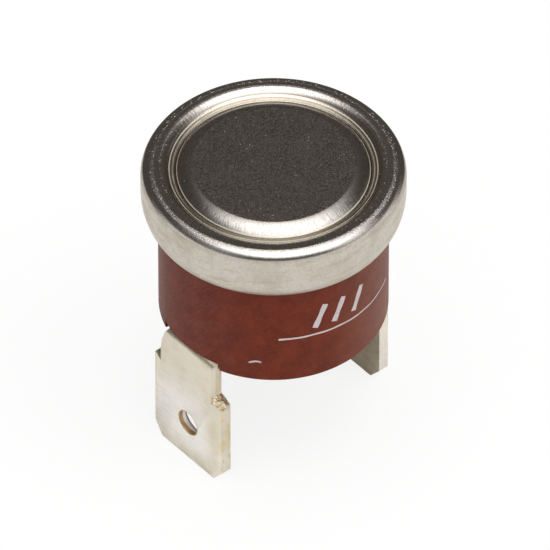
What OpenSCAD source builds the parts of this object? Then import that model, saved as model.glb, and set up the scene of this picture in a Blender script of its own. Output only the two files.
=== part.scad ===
// Snap-disc bimetal thermostat with a crimped metal cap and two quick-connect terminals.
// It stands on its terminal tips. +Z points to the sensing face, and the terminals lie on -X and +X.
// Lengths are in millimetres and angles in degrees.

/* [Bimetal disc] */
// Diameter of the bimetal disc, which sets the size of the cap and the body round it
disc_d = 12.6; // [11:0.1:16]
// Thickness of the bimetal disc
disc_sheet = 0.25; // [0.15:0.05:0.35]
// Height of the disc's dome at rest
disc_dome = 0.4; // [0.2:0.05:0.45]
// Side clearance round the disc's edge
disc_side_clearance = 0.12; // [0.08:0.02:0.2]
// Clearance between the disc's edge and the pressed bead above it
disc_top_clearance = 0.14; // [0.05:0.01:0.2]
// Free room under the disc's edge for the snapped-through dome
disc_room = 0.57; // [0.5:0.01:0.9]

/* [Cap] */
// Thickness of the cap's sheet metal
cap_sheet = 0.4; // [0.3:0.05:0.45]
// Distance from the disc's edge in to the groove's deepest line
bead_inset = 0.34; // [0.25:0.01:0.5]
// Depth of the groove below the flat sensing face
groove_depth = 0.49; // [0.42:0.01:0.6]
// Width of the rounded slope from the sensing face down to the groove
face_slope_w = 0.96; // [0.8:0.02:1.2]
// Angle at which that slope leaves the sensing face
face_slope_start = 13; // [8:1:18]
// Width of the groove's floor
groove_w = 0.49; // [0.4:0.01:0.6]
// Rise of the groove's floor across its width
groove_rise = 0.16; // [0.1:0.01:0.2]
// Outside radius of the rolled crest on the groove's side
crest_round = 0.97; // [0.9:0.01:1.2]
// Width of the crest's flat top
crest_flat = 0.12; // [0.05:0.01:0.3]
// Outside radius of the crest on the skirt's side
crest_shoulder = 0.85; // [0.75:0.01:1]
// Distance from the groove's floor out to the top of the crest
crest_w = 0.68; // [0.55:0.01:0.8]
// Width of the skirt's lower part, which is rolled under the body's flange
curl_w = 1; // [0.85:0.05:1.1]
// Height of that part
curl_h = 2.05; // [1.8:0.05:2.2]
// Angle through which the skirt's edge is rolled
curl_angle = 80; // [65:1:85]
// Clearance between the cap and what it holds
seam_clearance = 0.02; // [0.01:0.01:0.05]

/* [Body] */
// Step from the flange in to the body's side
flange_step = 0.63; // [0.6:0.01:0.8]
// Thickness of the body's flange
flange_t = 1.05; // [0.95:0.05:1.3]
// Thickness of the body's side wall
body_wall = 1.35; // [1:0.05:1.6]
// Thickness of the floor between the terminals and the contacts
floor_t = 1.5; // [1.2:0.1:2.5]
// Height of the contact chamber above the floor
chamber_h = 6.95; // [6.6:0.05:9]
// Depth of the slots that the terminals lie in
slot_depth = 0.63; // [0.3:0.01:0.75]
// Clearance round a terminal in its slot
slot_clearance = 0.1; // [0.05:0.05:0.2]
// Edge radius of the body's lower rim
rim_r = 0.15; // [0.05:0.05:0.25]

/* [Terminals] */
// Width of the quick-connect blade
blade_w = 6.3; // [5.6:0.1:6.6]
// Thickness of the terminal strip
blade_t = 0.8; // [0.6:0.05:1]
// Length of the blade from tip to shoulders
blade_length = 6.65; // [6:0.05:8.5]
// Width of the bevel along each edge of the blade
bevel_w = 0.55; // [0.3:0.05:0.7]
// Depth of that bevel
bevel_depth = 0.075; // [0.05:0.005:0.12]
// Width of the corner cut at the blade's tip
tip_cut_w = 0.75; // [0.5:0.05:1]
// Height of the corner cut at the blade's tip
tip_cut_h = 0.9; // [0.5:0.05:1.2]
// Diameter of the hole in the blade
blade_hole_d = 1.7; // [1.4:0.05:1.9]
// Height of that hole above the tip
blade_hole_h = 2.97; // [2.5:0.01:3.5]
// Width of the broken edge round that hole on the blade's inner face
blade_hole_break = 0.3; // [0.1:0.05:0.4]
// Width of the neck above the shoulders
neck_w = 4.8; // [4.4:0.1:4.9]
// Sideways offset of the blade from the neck's middle
blade_offset = 0.15; // [0:0.01:0.2]
// Length of the neck from the shoulders to the top of the bend
neck_length = 2.85; // [2.2:0.05:4]
// Rise of one shoulder towards its outer end
barb_h = 0.2; // [0.1:0.05:0.5]
// Fall of the other shoulder towards its outer end
shoulder_fall = 0.3; // [0.1:0.05:0.4]
// Outside radius of the bend
bend_r = 0.5; // [0.3:0.05:0.55]
// Inside radius of the bend
bend_inner_r = 0.12; // [0.05:0.01:0.2]
// Distance of the blade's outer face from the body's side
blade_standoff = 0.05; // [0:0.01:0.3]
// How much nearer the middle the arm terminal's blade stands
arm_blade_inset = 0.28; // [0:0.02:0.4]
// Sideways shift of each terminal from the centre plane
terminal_shift = 0.07; // [0:0.01:0.3]
// Length of the foot past the rivet's centre
foot_past_rivet = 1.5; // [1.2:0.1:1.7]
// Corner cut at the end of the foot
foot_cut = 0.7; // [0.3:0.05:1]

/* [Rivets and brackets] */
// Diameter of the rivets' shanks
rivet_d = 1.8; // [1.4:0.1:2]
// Diameter of the rivets' heads
rivet_head_d = 3; // [2.6:0.1:3.2]
// Height of the rivets' heads
rivet_head_h = 0.5; // [0.35:0.05:0.6]
// Clearance of a rivet's shank in its hole
rivet_clearance = 0.03; // [0.02:0.01:0.05]
// Thickness of the bracket strips
bracket_sheet = 0.5; // [0.4:0.05:0.6]
// Width of the bracket strips
bracket_w = 3.2; // [3:0.1:3.6]
// Clearance between a bracket and the chamber's wall
bracket_clearance = 0.1; // [0.05:0.05:0.2]

/* [Contacts] */
// Height of the contact arm's underside above the floor
arm_h = 2.6; // [2.4:0.05:3]
// Thickness of the contact arm's spring strip
arm_sheet = 0.2; // [0.15:0.05:0.25]
// Width of the contact arm
arm_w = 2.6; // [2.2:0.1:3]
// Length of the contact arm that lies on its bracket
arm_lap = 1.75; // [1.4:0.05:1.9]
// Diameter of the contacts' heads
contact_d = 2; // [1.6:0.1:2.2]
// Height of each contact's head
contact_h = 0.4; // [0.3:0.05:0.5]
// Diameter of the contacts' shanks
contact_shank_d = 1.1; // [0.8:0.1:1.2]
// Height of the contacts' riveted tails
contact_tail_h = 0.18; // [0.12:0.02:0.25]
// Margin of a strip past the contact that it carries
contact_margin = 0.15; // [0.1:0.05:0.3]

/* [Transfer pin] */
// Diameter of the transfer pin
pin_d = 2; // [1.6:0.1:2.2]
// Radius of the pin's rounded ends
pin_end_r = 1.2; // [1.12:0.02:1.6]
// Clearance of the pin in its guide
pin_clearance = 0.04; // [0.02:0.01:0.08]
// Clearance between the pin and the contact arm
pin_foot_clearance = 0.02; // [0.01:0.01:0.05]
// Dead travel between the domed disc and the pin
pin_dead_travel = 0.18; // [0.12:0.02:0.3]
// Thickness of the pin guide's plate
guide_plate_t = 0.65; // [0.5:0.05:1]
// Wall of the guide's boss round the pin
guide_boss_wall = 1.1; // [0.8:0.05:1.2]
// Length of the guide's boss below its plate
guide_boss_length = 1.4; // [1:0.1:1.8]
// Width of the guide's seat under the disc's edge
disc_seat_w = 0.6; // [0.4:0.05:0.8]

/* [Hidden] */
$fn = 96;
arc_steps = 12;
overcut = 1;

// Radii, worked outward from the disc
disc_r = disc_d / 2;
groove_r = disc_r - bead_inset;
face_r = groove_r - face_slope_w;
groove_outer_r = groove_r + groove_w;
crest_r = groove_outer_r + crest_w;
cap_r = crest_r + crest_flat + crest_shoulder;
cap_inner_r = cap_r - cap_sheet;
flange_r = cap_inner_r - seam_clearance;
body_r = flange_r - flange_step;
chamber_r = body_r - body_wall;
guide_seat_r = disc_r + disc_side_clearance;

// Heights, worked upward from the terminal tips
foot_top = blade_length + neck_length;
foot_bottom = foot_top - blade_t;
body_bottom = foot_top - slot_depth;
floor_top = foot_top + floor_t;
arm_bottom = floor_top + arm_h;
arm_top = arm_bottom + arm_sheet;
contact_plane = arm_top + contact_h;
contact_bracket_top = contact_plane + contact_h + bracket_sheet;
body_top = floor_top + chamber_h;
flange_bottom = body_top - flange_t;
guide_plate_top = body_top + guide_plate_t;
disc_edge = guide_plate_top + disc_room;
bead_bottom = disc_edge + disc_sheet + disc_top_clearance;
groove_bottom = bead_bottom + cap_sheet;
face_top = groove_bottom + groove_depth;
groove_outer_z = groove_bottom + groove_rise;

// Places inside the contact chamber
bracket_x = sqrt(pow(chamber_r, 2) - pow(bracket_w / 2, 2)) - bracket_clearance;
rivet_x = bracket_x - bracket_sheet - rivet_head_d / 2 - bracket_clearance;
contact_x = rivet_x;
hinge_x = bracket_x - arm_lap;
blade_x = body_r + blade_standoff;

// Points of an arc about a centre
function arc(center, r, from, to) =
    [for (i = [0:arc_steps]) let (a = from + (to - from) * i / arc_steps) center + r * [cos(a), sin(a)]];

// Points of an oval's arc about a centre, with a half width and a half height
function oval(center, half_w, half_h, from, to) =
    [for (i = [0:arc_steps]) let (a = from + (to - from) * i / arc_steps) center + [half_w * cos(a), half_h * sin(a)]];

// The same points from last to first
function reversed(points) = [for (i = [len(points) - 1:-1:0]) points[i]];

// Arc of the slope beside the sensing face, whose angles are its steepness where it starts and ends
face_slope_end = 2 * atan2(groove_depth, face_slope_w) - face_slope_start;
face_slope_r = face_slope_w / (sin(face_slope_end) - sin(face_slope_start));
face_slope_center = [face_r, face_top] - face_slope_r * [sin(face_slope_start), cos(face_slope_start)];
face_slope_inner_r = face_slope_r - cap_sheet;
face_slope_inner_start = acos((face_slope_r * cos(face_slope_start) - cap_sheet) / face_slope_inner_r);

// Corner points of the pressed groove, and the centres of the rolled crest and edge, as [radius, height]
groove_line = [groove_r, groove_bottom];
groove_edge = [groove_outer_r, groove_outer_z];
groove_climb = atan2(groove_rise, groove_w);
crest_climb = asin(crest_w / crest_round);
crest_center = [crest_r, groove_outer_z - crest_round * cos(crest_climb)];
crest_inner_round = crest_round - cap_sheet;
shoulder_center = [cap_r - crest_shoulder, crest_center[1] + crest_round - crest_shoulder];
shoulder_inner_r = crest_shoulder - cap_sheet;
curl_inner_w = curl_w - cap_sheet;
curl_inner_h = curl_h - cap_sheet;
curl_center = [cap_r - curl_w, flange_bottom + curl_inner_h];

// Oval that the flange and the pin guide's rim follow inside the rolled edge, and its angle where they meet
seat_w = curl_inner_w - seam_clearance;
seat_h = curl_inner_h - seam_clearance;
seat_angle = asin((body_top - curl_center[1]) / seat_h);

cap_outside = concat(
    [[0, face_top]],
    arc(face_slope_center, face_slope_r, 90 - face_slope_start, 90 - face_slope_end),
    arc(crest_center, crest_round, 90 + crest_climb, 90),
    arc(shoulder_center, crest_shoulder, 90, 0),
    oval(curl_center, curl_w, curl_h, 0, -curl_angle));

cap_inside = concat(
    [[0, face_top - cap_sheet]],
    arc(face_slope_center, face_slope_inner_r, 90 - face_slope_inner_start, 90 - face_slope_end),
    arc(groove_line, cap_sheet, 270 - face_slope_end, 270 + groove_climb),
    arc(groove_edge, cap_sheet, 270 + groove_climb, 270 + crest_climb),
    arc(crest_center, crest_inner_round, 90 + crest_climb, 90),
    arc(shoulder_center, shoulder_inner_r, 90, 0),
    oval(curl_center, curl_inner_w, curl_inner_h, 0, -curl_angle));

// Drawn sheet-metal cap with its pressed groove and rolled lower edge
module cap() {
    color([0.66, 0.64, 0.6])
        rotate_extrude()
            polygon(concat(cap_outside, reversed(cap_inside)));
}

function dome_z(r) = disc_dome * (1 - pow(r / disc_r, 2));

// Dished bimetal disc that snaps through at its set temperature
module bimetal_disc() {
    underside = [for (i = [0:arc_steps]) let (r = disc_r * i / arc_steps) [r, disc_edge + dome_z(r)]];
    upper = [for (p = reversed(underside)) p + [0, disc_sheet]];
    color([0.6, 0.55, 0.5])
        rotate_extrude()
            polygon(concat(underside, upper));
}

// Plate that carries the disc's edge, guides the pin and holds the cap's crest up with its rim
module pin_guide() {
    bore_r = pin_d / 2 + pin_clearance;
    boss_r = bore_r + guide_boss_wall;
    rim_round = crest_inner_round - seam_clearance;
    rim_inner_r = crest_r - rim_round * sin(crest_climb);
    color([0.82, 0.78, 0.7])
        rotate_extrude()
            polygon(concat(
                [[bore_r, body_top - guide_boss_length],
                    [boss_r, body_top - guide_boss_length],
                    [boss_r, body_top]],
                oval(curl_center, seat_w, seat_h, seat_angle, 0),
                arc(shoulder_center, shoulder_inner_r - seam_clearance, 0, 90),
                arc(crest_center, rim_round, 90, 90 + crest_climb),
                [[rim_inner_r, disc_edge + disc_sheet],
                    [guide_seat_r, disc_edge + disc_sheet],
                    [guide_seat_r, disc_edge],
                    [disc_r - disc_seat_w, disc_edge],
                    [disc_r - disc_seat_w, guide_plate_top],
                    [bore_r, guide_plate_top]]));
}

// Ceramic pin that carries the disc's snap to the contact arm
module transfer_pin() {
    bottom = arm_top + pin_foot_clearance;
    top = disc_edge + disc_dome - pin_dead_travel;
    side_angle = acos(pin_d / 2 / pin_end_r);
    color([0.92, 0.9, 0.86])
        rotate_extrude()
            polygon(concat(
                arc([0, bottom + pin_end_r], pin_end_r, -90, -side_angle),
                arc([0, top - pin_end_r], pin_end_r, side_angle, 90)));
}

// Outline of a terminal's foot and neck seen from above, with room added on every side
module foot_outline(room) {
    half = neck_w / 2 + room;
    inner = -rivet_x + foot_past_rivet + room;
    outer = -blade_x - overcut;
    polygon([[outer, -half], [inner - foot_cut, -half], [inner, -half + foot_cut], [inner, half - foot_cut],
        [inner - foot_cut, half], [outer, half]]);
}

// Everything on the -X side, then the same turned half a turn about Z
module both_sides() {
    children();
    rotate(180)
        children();
}

// Moulded body with its flange, contact chamber, terminal slots and rivet holes
module body() {
    outside = concat(
        [[0, body_bottom]],
        arc([body_r - rim_r, body_bottom + rim_r], rim_r, -90, 0),
        [[body_r, flange_bottom + seam_clearance]],
        oval(curl_center, seat_w, seat_h, -90, seat_angle),
        [[0, body_top]]);
    color([0.41, 0.2, 0.16])
        difference() {
            rotate_extrude()
                polygon(outside);
            translate([0, 0, floor_top])
                cylinder(h = chamber_h + overcut, r = chamber_r);
            both_sides() {
                translate([0, -terminal_shift, body_bottom - overcut])
                    linear_extrude(slot_depth + overcut)
                        foot_outline(slot_clearance);
                translate([-rivet_x, 0, body_bottom])
                    cylinder(h = floor_top, d = rivet_d + 2 * rivet_clearance);
            }
        }
}

// C-shaped bracket on the -X side of the chamber floor, with a reach from its riser inward
module bracket(height, reach) {
    inner = -rivet_x + rivet_head_d / 2;
    difference() {
        rotate([90, 0, 0])
            linear_extrude(bracket_w, center = true)
                polygon([
                    [inner, floor_top],
                    [-bracket_x, floor_top],
                    [-bracket_x, floor_top + height],
                    [-bracket_x + reach, floor_top + height],
                    [-bracket_x + reach, floor_top + height - bracket_sheet],
                    [-bracket_x + bracket_sheet, floor_top + height - bracket_sheet],
                    [-bracket_x + bracket_sheet, floor_top + bracket_sheet],
                    [inner, floor_top + bracket_sheet]]);
        translate([-rivet_x, 0, floor_top - overcut])
            cylinder(h = bracket_sheet + overcut + rivet_head_h, d = rivet_d + 2 * rivet_clearance);
    }
}

// Bracket that the contact arm is welded to
module arm_bracket() {
    color([0.78, 0.66, 0.4])
        rotate(180)
            bracket(arm_h, arm_lap);
}

// Bracket that holds the fixed contact over the moving one
module contact_bracket() {
    reach = bracket_x - contact_x + contact_d / 2 + contact_margin;
    color([0.78, 0.66, 0.4])
        difference() {
            bracket(contact_bracket_top - floor_top, reach);
            translate([-contact_x, 0, contact_bracket_top - bracket_sheet - overcut])
                cylinder(h = bracket_sheet + 2 * overcut, d = contact_shank_d + 2 * rivet_clearance);
        }
}

// Spring strip that carries the moving contact
module contact_arm() {
    tip_x = -contact_x - contact_d / 2 - contact_margin;
    tip_r = arm_w / 2;
    color([0.8, 0.6, 0.35])
        translate([0, 0, arm_bottom])
            linear_extrude(arm_sheet)
                difference() {
                    union() {
                        translate([tip_x + tip_r, -tip_r])
                            square([bracket_x - tip_x - tip_r, arm_w]);
                        translate([tip_x + tip_r, 0])
                            circle(r = tip_r);
                    }
                    translate([-contact_x, 0])
                        circle(d = contact_shank_d + 2 * rivet_clearance);
                }
}

// Riveted contact whose head stands on z = 0 and points up, with a tail below a strip
module contact(strip) {
    edge = contact_h / 4;
    head_r = contact_d / 2;
    shank_r = contact_shank_d / 2;
    tail_r = (head_r + shank_r) / 2;
    color([0.86, 0.86, 0.84])
        rotate_extrude()
            polygon([
                [0, -strip - contact_tail_h],
                [tail_r, -strip - contact_tail_h],
                [tail_r, -strip],
                [shank_r, -strip],
                [shank_r, 0],
                [head_r, 0],
                [head_r, contact_h - edge],
                [head_r - edge, contact_h],
                [0, contact_h]]);
}

// Contact that rides on the arm and faces up
module moving_contact() {
    translate([-contact_x, 0, arm_top])
        contact(arm_sheet);
}

// Contact under its bracket that faces down
module fixed_contact() {
    translate([-contact_x, 0, contact_bracket_top - bracket_sheet])
        mirror([0, 0, 1])
            contact(bracket_sheet);
}

// Wedge along one edge of the blade's outer face, cut away for the bevel
module blade_bevel() {
    translate([0, 0, -overcut])
        linear_extrude(blade_length + 3 * overcut)
            polygon([
                [blade_t / 2 - bevel_depth, blade_w / 2],
                [blade_t / 2, blade_w / 2 - bevel_w],
                [blade_t / 2 + overcut, blade_w / 2 - bevel_w],
                [blade_t / 2 + overcut, blade_w / 2 + overcut],
                [blade_t / 2 - bevel_depth, blade_w / 2 + overcut]]);
}

// Punched hole along X through a blade centred on x = 0, wider where the punch broke out
module blade_hole() {
    r = blade_hole_d / 2;
    edge = blade_t / 2 - blade_hole_break;
    rotate([0, 90, 0])
        rotate_extrude()
            polygon([
                [0, -blade_t],
                [r, -blade_t],
                [r, edge],
                [r + 2 * blade_hole_break, edge + 2 * blade_hole_break],
                [0, edge + 2 * blade_hole_break]]);
}

// Quick-connect blade, upright about the Z axis with its tip on z = 0
module blade() {
    half = blade_w / 2;
    neck = neck_w / 2;
    difference() {
        rotate([90, 0, 90])
            linear_extrude(blade_t, center = true)
                polygon([
                    [-half + tip_cut_w, 0],
                    [half - tip_cut_w, 0],
                    [half, tip_cut_h],
                    [half, blade_length + barb_h / 2],
                    [blade_offset + neck, blade_length - barb_h / 2],
                    [blade_offset - neck, blade_length + shoulder_fall / 2],
                    [-half, blade_length - shoulder_fall / 2],
                    [-half, tip_cut_h]]);
        for (face = [0, 1], edge = [0, 1])
            mirror([face, 0, 0])
                mirror([0, edge, 0])
                    blade_bevel();
        translate([0, 0, blade_hole_h])
            blade_hole();
    }
}

// L-shaped terminal on the -X side: blade outside at a distance from the middle, neck, bend and riveted foot
module terminal(outer) {
    inner_x = -outer + blade_t;
    inner_end = -rivet_x + foot_past_rivet;
    strip = concat(
        [[-outer, blade_length - barb_h]],
        arc([-outer + bend_r, foot_top - bend_r], bend_r, 180, 90),
        [[inner_end, foot_top], [inner_end, foot_bottom]],
        arc([inner_x + bend_inner_r, foot_bottom - bend_inner_r], bend_inner_r, 90, 180),
        [[inner_x, blade_length - barb_h]]);
    difference() {
        translate([0, -terminal_shift, 0]) {
            translate([-outer + blade_t / 2, -blade_offset, 0])
                blade();
            intersection() {
                rotate([90, 0, 0])
                    linear_extrude(neck_w, center = true)
                        polygon(strip);
                linear_extrude(foot_top + overcut)
                    foot_outline(0);
            }
        }
        translate([-rivet_x, 0, foot_bottom - overcut])
            cylinder(h = blade_t + 2 * overcut, d = rivet_d + 2 * rivet_clearance);
    }
}

// Terminal of the fixed contact
module contact_terminal() {
    color([0.8, 0.77, 0.7])
        terminal(blade_x);
}

// Terminal of the contact arm
module arm_terminal() {
    color([0.8, 0.77, 0.7])
        rotate(180)
            terminal(blade_x - arm_blade_inset);
}

// Rivet through a terminal's foot, the floor and a bracket, on the -X side
module rivet() {
    head_r = rivet_head_d / 2;
    shank_r = rivet_d / 2;
    low = foot_bottom;
    high = floor_top + bracket_sheet;
    round_r = rivet_head_h * 0.8;
    color([0.75, 0.72, 0.66])
        translate([-rivet_x, 0, 0])
            rotate_extrude()
                polygon(concat(
                    [[0, low - rivet_head_h]],
                    arc([head_r - round_r, low - rivet_head_h + round_r], round_r, -90, 0),
                    [[head_r, low], [shank_r, low], [shank_r, high], [head_r, high]],
                    arc([head_r - round_r, high + rivet_head_h - round_r], round_r, 0, 90),
                    [[0, high + rivet_head_h]]));
}

// Rivet on the fixed contact's side
module contact_rivet() {
    rivet();
}

// Rivet on the contact arm's side
module arm_rivet() {
    rotate(180)
        rivet();
}

cap();
bimetal_disc();
pin_guide();
transfer_pin();
body();
arm_bracket();
contact_bracket();
contact_arm();
moving_contact();
fixed_contact();
arm_terminal();
contact_terminal();
arm_rivet();
contact_rivet();
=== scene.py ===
"""Bimetal thermostat: a crimped metal cap on a moulded body, standing on its two blade terminals.

Meshes are made in millimetres and scaled to metres, in the frame of the solids.
"""
from math import acos, asin, atan2, cos, degrees, pi, radians, sin, tan

import bmesh
import bpy
from mathutils import Matrix, Vector


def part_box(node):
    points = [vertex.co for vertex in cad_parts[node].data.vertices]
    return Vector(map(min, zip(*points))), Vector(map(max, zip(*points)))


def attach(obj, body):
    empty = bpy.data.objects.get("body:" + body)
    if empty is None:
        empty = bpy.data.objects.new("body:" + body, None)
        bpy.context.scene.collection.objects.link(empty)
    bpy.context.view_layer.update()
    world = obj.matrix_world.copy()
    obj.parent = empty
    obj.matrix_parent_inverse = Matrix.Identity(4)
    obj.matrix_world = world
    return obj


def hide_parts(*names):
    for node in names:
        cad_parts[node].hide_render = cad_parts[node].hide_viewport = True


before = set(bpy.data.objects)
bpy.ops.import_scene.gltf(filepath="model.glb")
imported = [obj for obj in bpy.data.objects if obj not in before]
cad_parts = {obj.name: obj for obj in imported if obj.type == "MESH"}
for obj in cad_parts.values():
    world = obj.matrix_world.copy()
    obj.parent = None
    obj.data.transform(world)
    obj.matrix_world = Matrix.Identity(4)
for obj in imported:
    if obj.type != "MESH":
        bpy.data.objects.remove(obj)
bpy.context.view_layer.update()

MM = 0.001
ROUND_STEPS = 288
COARSE_STEPS = 96
ARC_STEPS = 10

# Sizes read from the frame, in millimetres
CAP_LOW, CAP_HIGH = (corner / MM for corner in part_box("cap"))
BODY_LOW, BODY_HIGH = (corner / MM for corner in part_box("body"))
TERMINAL_LOW, TERMINAL_HIGH = (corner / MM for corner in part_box("contact_terminal"))
ARM_BLADE_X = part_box("arm_terminal")[1].x / MM
RIVET_LOW, RIVET_HIGH = (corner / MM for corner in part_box("contact_rivet"))

# Cap
CAP_R = min(CAP_HIGH.x, CAP_HIGH.y)
FACE_TOP = CAP_HIGH.z
CAP_SHEET = 0.4
FACE_R = 5.0
FACE_EDGE_R = 0.3
FACE_SLOPE_START = 13
GROOVE_R = 5.96
GROOVE_DEPTH = 0.49
GROOVE_OUTER_R = 6.45
GROOVE_RISE = 0.16
GROOVE_CORNER_R = 0.04
SLOPE_ROUND_SHARE = 0.93
CREST_ROUND = 0.97
CREST_FLAT = 0.12
CREST_SHOULDER = 0.85
CURL_W = 1.0
CURL_H = 2.05
CURL_ANGLE = 80
CURL_Z = CAP_LOW.z + CURL_H * sin(radians(CURL_ANGLE))

# Zones of the cap's plating and of the highlights and shade painted on it, as distances from the axis
FACE_FADE = (4.95, 5.4)
HAZE_FADE = (5.0, 5.75)
STRIAE_FADE = (5.1, 5.6)
SLOPE_ZONE = (5.15, 5.9)
INNER_HIGHLIGHT_LINE = (5.86, 5.91)
SHADE_LINE = (5.93, 6.0)
GROOVE_ZONE = (6.03, 6.29)
HIGHLIGHT_RING = (6.1, 6.19)
OUTER_HIGHLIGHT_LINE = (6.31, 6.38)
CREST_INNER = (6.38, 6.66)
CREST_SCORED = (6.6, 7.3)
CREST_NICKED = (6.7, 7.7)
CREST_RUB = (6.82, 6.95)
CREST_WORN = (7.3, 7.6)
SKIRT_FADE = (7.93, 7.99)
# Heights where the skirt gives way to the top
TOP_FADE = (18.9, 19.4)

# Body
BODY_R = 7.05
BODY_BOTTOM = BODY_LOW.z
BODY_TOP = BODY_HIGH.z
SEAM_CLEARANCE = 0.02
RIM_R = 0.15
CHAMBER_R = 5.7
FLOOR_TOP = 11.0
SLOT_TOP = TERMINAL_HIGH.z
SLOT_CLEARANCE = 0.1
BODY_BORE_STEPS = 48

# Terminals, drawn for the -X side
BLADE_X = -TERMINAL_LOW.x
BLADE_W = 6.3
BLADE_T = 0.8
BLADE_LENGTH = 6.65
BEVEL_W = 0.55
BEVEL_DEPTH = 0.05
TIP_CUT_W = 0.75
TIP_CUT_H = 0.9
TIP_ROUND = 0.1
SIDE_ROUND = 0.2
BARB_ROUND = 0.04
SHOULDER_ROUND = 0.05
HOLE_R = 0.85
HOLE_H = 2.97
HOLE_BREAK = 0.3
NECK_W = 4.8
BARB_H = 0.36
NECK_CURVE_R = 4.5
NECK_CURVE_START = 0.7
NECK_CURVE_ANGLE = 50
SHOULDER_FALL = 0.3
BEND_R = 0.5
BEND_INNER_R = 0.12
TERMINAL_SHIFT = 0.07
BLADE_SHIFT = 0.22
FOOT_END_X = TERMINAL_HIGH.x
FOOT_CUT = 0.7
EDGE_ROUND = 0.05
NECK_OVERLAP = 0.4
# How far a cutter runs past what it cuts
OVERRUN = 1
RIVET_X = (RIVET_LOW.x + RIVET_HIGH.x) / 2
RIVET_HOLE_R = 0.93
FOOT_BORE_STEPS = 64

# Plain ink marks on the body: angles are from the side that faces the camera, turning to its right
INK_PROUD = 0.015
INK_DEPTH = 0.05
INK_LINE_Z = 12.42
INK_LINE_FROM = 2.5
INK_LINE_TO = 75.5
INK_LINE_W = 0.14
INK_LINE_TAPER = 0.05
INK_LINE_WAVE = 0.025
INK_LINE_UNEVEN = 0.012
INK_LINE_STEPS = 60
# Angle, height and width along the dash
INK_DASH = (
    (-12.4, 10.33, 0.1),
    (-10.8, 10.42, 0.14),
    (-9.0, 10.5, 0.13),
    (-7.3, 10.5, 0.12),
    (-6.0, 10.44, 0.08),
)
STROKE_ANGLES = (21.0, 31.5, 43.5)
STROKE_LEAN = 5.5
STROKE_Z = 13.0
STROKE_H = 1.75
STROKE_W = 0.36
STROKE_UNEVEN = 0.04
STROKE_STEPS = 8

# Camera
CAMERA_AZIMUTH = -40.62
CAMERA_ELEVATION = 44.73
CAMERA_DISTANCE = 0.9
VIEW_WIDTH = 33.63 * MM
VIEW_HEIGHT_Z = 10.98 * MM
VIEW_RIGHT = 0.09 * MM
SENSOR = 36.0

# Studio
FLOOR_R = 1500
FLOOR_T = 5
BACKDROP_ROUND = 400
BACKDROP_H = 2500
CARD_BACK = 26
CARD_SIDES = 520
CARD_TOP = -0.02
ROOM_LIGHT = 0.095
SCREEN_LOW = 0.9
SCREEN_HIGH = 0.04
SCREEN_HEIGHTS = (15, 29)
SCREEN_SIDE = 8
SCREEN_FADE = (-0.55, 0.05)
# Strength, angle from the camera's side, height, and the angles where the light starts to fade and ends
STUDIO_LIGHTS = (
    (2.6, 32, 82, 10, 42),
    (1.0, 72, 46, 4, 26),
    (0.2, -45, 42, 4, 20),
    (0.12, -75, 55, 4, 20),
)


# Directions and outlines

def from_camera(angle, height):
    """A direction at an angle from the camera's side, positive to its right, and at a height, in degrees."""
    a = radians(CAMERA_AZIMUTH - 90 + angle)
    h = radians(height)
    return Vector((cos(a) * cos(h), sin(a) * cos(h), sin(h)))


def oval(center, half_w, half_h, start, end, steps=ARC_STEPS):
    """Points on an arc of an oval, with angles in degrees."""
    angles = [radians(start + (end - start) * i / steps) for i in range(steps + 1)]
    return [Vector((center[0] + half_w * cos(a), center[1] + half_h * sin(a))) for a in angles]


def arc(center, radius, start, end, steps=ARC_STEPS):
    """Points on an arc, with angles in degrees."""
    return oval(center, radius, radius, start, end, steps)


def rounded(corners, steps=ARC_STEPS):
    """An outline through corners given as (x, y, radius), with an arc at each corner that has a radius."""
    points = []
    for i, (x, y, radius) in enumerate(corners):
        here = Vector((x, y))
        if not radius:
            points.append(here)
            continue
        back = (Vector(corners[i - 1][:2]) - here).normalized()
        ahead = (Vector(corners[(i + 1) % len(corners)][:2]) - here).normalized()
        half = acos(max(-1.0, min(1.0, back.dot(ahead)))) / 2
        center = here + (back + ahead).normalized() * (radius / sin(half))
        first = here + back * (radius / tan(half)) - center
        last = here + ahead * (radius / tan(half)) - center
        start = atan2(first.y, first.x)
        sweep = (atan2(last.y, last.x) - start + pi) % (2 * pi) - pi
        for step in range(steps + 1):
            a = start + sweep * step / steps
            points.append(center + Vector((cos(a), sin(a))) * radius)
    return points


def circle(x, radius, steps):
    """Points of a circle whose centre lies at x on the first axis."""
    angles = [2 * pi * k / steps for k in range(steps)]
    return [(x + radius * cos(a), radius * sin(a)) for a in angles]


def offset_right(points, distance):
    """The same open outline moved to its right-hand side, as the other face of a bent sheet."""
    moved = []
    for i, point in enumerate(points):
        along = (points[min(i + 1, len(points) - 1)] - points[max(i - 1, 0)]).normalized()
        moved.append(point + Vector((along.y, -along.x)) * distance)
    return moved


# Meshes

def new_object(name, bm):
    """An object from a mesh drawn in millimetres."""
    bmesh.ops.recalc_face_normals(bm, faces=bm.faces)
    bmesh.ops.scale(bm, vec=(MM, MM, MM), verts=bm.verts)
    mesh = bpy.data.meshes.new(name)
    bm.to_mesh(mesh)
    bm.free()
    obj = bpy.data.objects.new(name, mesh)
    bpy.context.collection.objects.link(obj)
    return obj


def revolved(name, profile, steps=ROUND_STEPS):
    """A solid turned from a closed outline of (radius, height) points, or one that ends on the axis."""
    bm = bmesh.new()
    rings = []
    for r, z in profile:
        if r < 1e-6:
            rings.append([bm.verts.new((0, 0, z))])
        else:
            turns = [2 * pi * k / steps for k in range(steps)]
            rings.append([bm.verts.new((r * cos(a), r * sin(a), z)) for a in turns])
    for lower, upper in zip(rings, rings[1:] + rings[:1]):
        if len(lower) == 1 and len(upper) == 1:
            continue
        for k in range(steps):
            n = (k + 1) % steps
            corners = [ring[i % len(ring)] for ring, i in ((lower, k), (lower, n), (upper, n), (upper, k))]
            bm.faces.new(list(dict.fromkeys(corners)))
    return new_object(name, bm)


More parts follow.
